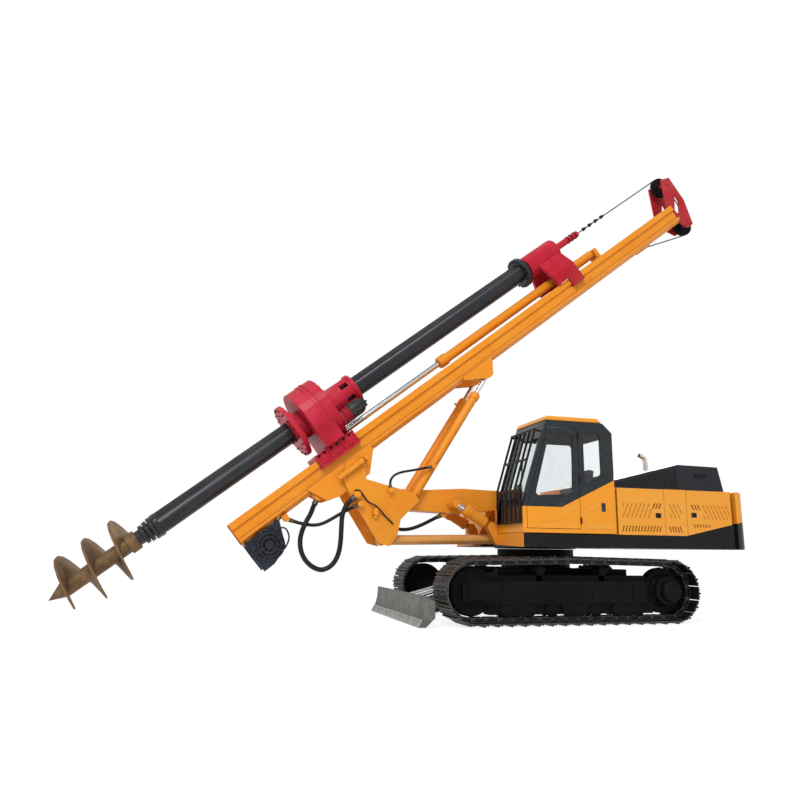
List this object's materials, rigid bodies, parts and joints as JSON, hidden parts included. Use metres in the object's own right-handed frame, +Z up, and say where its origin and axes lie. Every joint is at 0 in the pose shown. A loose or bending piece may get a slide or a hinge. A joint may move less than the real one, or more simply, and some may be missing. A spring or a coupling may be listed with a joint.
{
  "type": "rotary piling rig",
  "caption": "Tracked rotary piling rig with a luffing mast on a parallel-link boom, a kelly bar with rotary drive and auger, a slewing cab and a front blade",
  "frame": {"origin": "the point on the ground under the slew axis, midway between the tracks", "axes": "-X is the way the machine faces, towards the kelly and auger; -Y is the operator's left, with the cab; +Z is up"},
  "size_m": [10.5418, 2.76, 8.0498],
  "materials": {
    "dark_steel": "matte",
    "worn_steel": "satin",
    "orange_paint": "satin",
    "yellow_paint": "satin",
    "red_paint": "satin",
    "navy_paint": "gloss",
    "black_plastic": "matte",
    "seat_fabric": "matte",
    "chrome_rod": "polished",
    "cast_engine": "matte",
    "ballast": "satin",
    "rusty_steel": "matte",
    "hose_rubber": "matte",
    "glass": "gloss"
  },
  "bodies": {
    "undercarriage": {"car_body": "dark_steel", "track_frame_left": "dark_steel", "track_frame_right": "dark_steel", "track_left": "dark_steel", "track_right": "dark_steel", "sprocket_left": "dark_steel", "sprocket_right": "dark_steel"},
    "blade": {"dozer_blade": "worn_steel"},
    "blade_ram_barrels": {"blade_ram_barrel_left": "dark_steel", "blade_ram_barrel_right": "dark_steel"},
    "blade_ram_rods": {"blade_ram_rod_left": "chrome_rod", "blade_ram_rod_right": "chrome_rod"},
    "upper": {"platform": "orange_paint", "cab_shell": "navy_paint", "cab_roof": "yellow_paint", "windscreen": "glass", "quarter_window": "glass", "inner_window": "glass", "operator_seat": "seat_fabric", "front_guard": "dark_steel", "engine_block": "cast_engine", "rear_housing": "yellow_paint", "counterweight": "ballast", "right_housing": "yellow_paint", "exhaust_stack": "chrome_rod"},
    "cab_door": {"cab_door": "navy_paint", "cab_door_glass": "glass"},
    "service_door_front": {"service_door_front": "yellow_paint"},
    "service_door_rear": {"service_door_rear": "yellow_paint"},
    "engine_hood": {"engine_hood": "navy_paint"},
    "boom": {"boom": "orange_paint"},
    "lower_link": {"lower_link": "orange_paint"},
    "boom_ram_barrels": {"boom_ram_barrel_left": "orange_paint", "boom_ram_barrel_right": "orange_paint"},
    "boom_ram_rods": {"boom_ram_rod_left": "chrome_rod", "boom_ram_rod_right": "chrome_rod"},
    "mast_frame": {"mast_frame": "orange_paint", "loop_hose": "hose_rubber", "sag_hose": "hose_rubber", "ram_hose": "hose_rubber", "boom_hose": "hose_rubber"},
    "luff_ram_barrels": {"luff_ram_barrel_left": "orange_paint", "luff_ram_barrel_right": "orange_paint"},
    "luff_ram_rods": {"luff_ram_rod_left": "chrome_rod", "luff_ram_rod_right": "chrome_rod"},
    "mast": {"mast": "orange_paint", "crown_head": "red_paint", "winch_frame": "navy_paint", "crowd_barrel": "orange_paint"},
    "winch_drum": {"winch_drum": "dark_steel"},
    "crown_sheave_front": {"crown_sheave_front": "dark_steel"},
    "crown_sheave_rear": {"crown_sheave_rear": "dark_steel"},
    "rotary_drive": {"rotary_sledge": "red_paint", "rotary_gearbox": "red_paint", "crowd_rod": "chrome_rod"},
    "drive_sleeve": {"drive_sleeve": "red_paint"},
    "kelly_guide": {"kelly_guide": "red_paint"},
    "kelly_outer": {"kelly_outer": "navy_paint"},
    "kelly_inner": {"kelly_inner": "navy_paint", "auger": "rusty_steel"}
  },
  "joints": [
    {"name": "blade_lift", "type": "hinge", "parent": "undercarriage", "child": "blade", "pos_m": [-0.68, 0, 0.47], "axis": [0, 1, 0], "range_deg": [-5, 14]},
    {"name": "blade_ram_swing", "type": "hinge", "parent": "undercarriage", "child": "blade_ram_barrels", "pos_m": [-0.64, 0, 0.7], "axis": [0, 1, 0], "range_deg": [-4.84, 13.38]},
    {"name": "blade_ram_stroke", "type": "slide", "parent": "blade_ram_barrels", "child": "blade_ram_rods", "axis": [-0.9669, 0, -0.2553], "range_m": [-0.0549, 0.0209]},
    {"name": "slew", "type": "hinge", "parent": "undercarriage", "child": "upper", "pos_m": [0, 0, 1.05], "axis": [0, 0, 1], "continuous": true},
    {"name": "cab_door_swing", "type": "hinge", "parent": "upper", "child": "cab_door", "pos_m": [0.08, -1.356, 2], "axis": [0, 0, 1], "range_deg": [0, 150]},
    {"name": "service_door_front_swing", "type": "hinge", "parent": "upper", "child": "service_door_front", "pos_m": [1.484, -1.356, 1.6], "axis": [0, 0, 1], "range_deg": [0, 100]},
    {"name": "service_door_rear_swing", "type": "hinge", "parent": "upper", "child": "service_door_rear", "pos_m": [1.876, -1.356, 1.6], "axis": [0, 0, -1], "range_deg": [0, 100]},
    {"name": "engine_hood_lift", "type": "hinge", "parent": "upper", "child": "engine_hood", "pos_m": [0.685, 0, 2.05], "axis": [0, -1, 0], "range_deg": [0, 50]},
    {"name": "boom_lift", "type": "hinge", "parent": "upper", "child": "boom", "pos_m": [-0.35, 0, 1.79], "axis": [0, 1, 0], "range_deg": [-5, 17]},
    {"name": "lower_link_swing", "type": "hinge", "parent": "upper", "child": "lower_link", "pos_m": [-0.7, 0, 1.19], "axis": [0, 1, 0], "range_deg": [-5.1, 17.1]},
    {"name": "mast_frame_level", "type": "hinge", "parent": "boom", "child": "mast_frame", "pos_m": [-2.15, 0, 1.75], "axis": [0, 1, 0], "range_deg": [-17.1, 5.1], "deforming": ["boom_hose"]},
    {"name": "boom_ram_swing", "type": "hinge", "parent": "upper", "child": "boom_ram_barrels", "pos_m": [-0.935, 0, 1.37], "axis": [0, 1, 0], "range_deg": [-6.43, 21.64]},
    {"name": "boom_ram_stroke", "type": "slide", "parent": "boom_ram_barrels", "child": "boom_ram_rods", "axis": [-0.8554, 0, 0.5179], "range_m": [-0.0621, 0.2062]},
    {"name": "luff_ram_swing", "type": "hinge", "parent": "mast_frame", "child": "luff_ram_barrels", "pos_m": [-2.15, 0, 1.75], "axis": [0, 1, 0], "range_deg": [-50.17, 9.2], "deforming": ["ram_hose"]},
    {"name": "luff_ram_stroke", "type": "slide", "parent": "luff_ram_barrels", "child": "luff_ram_rods", "axis": [0.5249, 0, 0.8512], "range_m": [-0.168, 0.9148]},
    {"name": "mast_luff", "type": "hinge", "parent": "mast_frame", "child": "mast", "pos_m": [-3.054, 0, 2.187], "axis": [0, -1, 0], "range_deg": [-10, 55], "deforming": ["loop_hose", "sag_hose"]},
    {"name": "winch_turn", "type": "hinge", "parent": "mast", "child": "winch_drum", "pos_m": [-4.25004, 0, 1.05493], "axis": [0, 1, 0], "continuous": true},
    {"name": "front_sheave_turn", "type": "hinge", "parent": "mast", "child": "crown_sheave_front", "pos_m": [2.8372, 0, 7.84727], "axis": [0, 1, 0], "continuous": true},
    {"name": "rear_sheave_turn", "type": "hinge", "parent": "mast", "child": "crown_sheave_rear", "pos_m": [3.26713, 0, 7.12306], "axis": [0, 1, 0], "continuous": true},
    {"name": "rotary_feed", "type": "slide", "parent": "mast", "child": "rotary_drive", "axis": [0.7859, 0, 0.6184], "range_m": [-1.2, 1.2]},
    {"name": "sleeve_turn", "type": "hinge", "parent": "rotary_drive", "child": "drive_sleeve", "pos_m": [-5.18602, 0, 1.7754], "axis": [0.7859, 0, 0.6184], "continuous": true},
    {"name": "guide_travel", "type": "slide", "parent": "mast", "child": "kelly_guide", "axis": [0.7859, 0, 0.6184], "range_m": [-2.2, 0.5]},
    {"name": "kelly_turn", "type": "hinge", "parent": "kelly_guide", "child": "kelly_outer", "pos_m": [-5.18602, 0, 1.7754], "axis": [0.7859, 0, 0.6184], "continuous": true},
    {"name": "kelly_stroke", "type": "slide", "parent": "kelly_outer", "child": "kelly_inner", "axis": [0.7859, 0, 0.6184], "range_m": [-5, 0]}
  ],
  "couplings": [
    {"joint": "blade_ram_swing", "follows": "blade_lift", "ratio": 0.94872},
    {"joint": "blade_ram_stroke", "follows": "blade_lift", "m_per_rad": -0.2164},
    {"joint": "lower_link_swing", "follows": "boom_lift", "ratio": 1},
    {"joint": "mast_frame_level", "follows": "boom_lift", "ratio": -1},
    {"joint": "boom_ram_swing", "follows": "boom_lift", "ratio": 1.2669},
    {"joint": "boom_ram_stroke", "follows": "boom_lift", "m_per_rad": 0.68829},
    {"joint": "luff_ram_swing", "follows": "mast_luff", "ratio": -0.91032},
    {"joint": "luff_ram_stroke", "follows": "mast_luff", "m_per_rad": 0.95092},
    {"joint": "sleeve_turn", "follows": "kelly_turn", "ratio": 1}
  ]
}
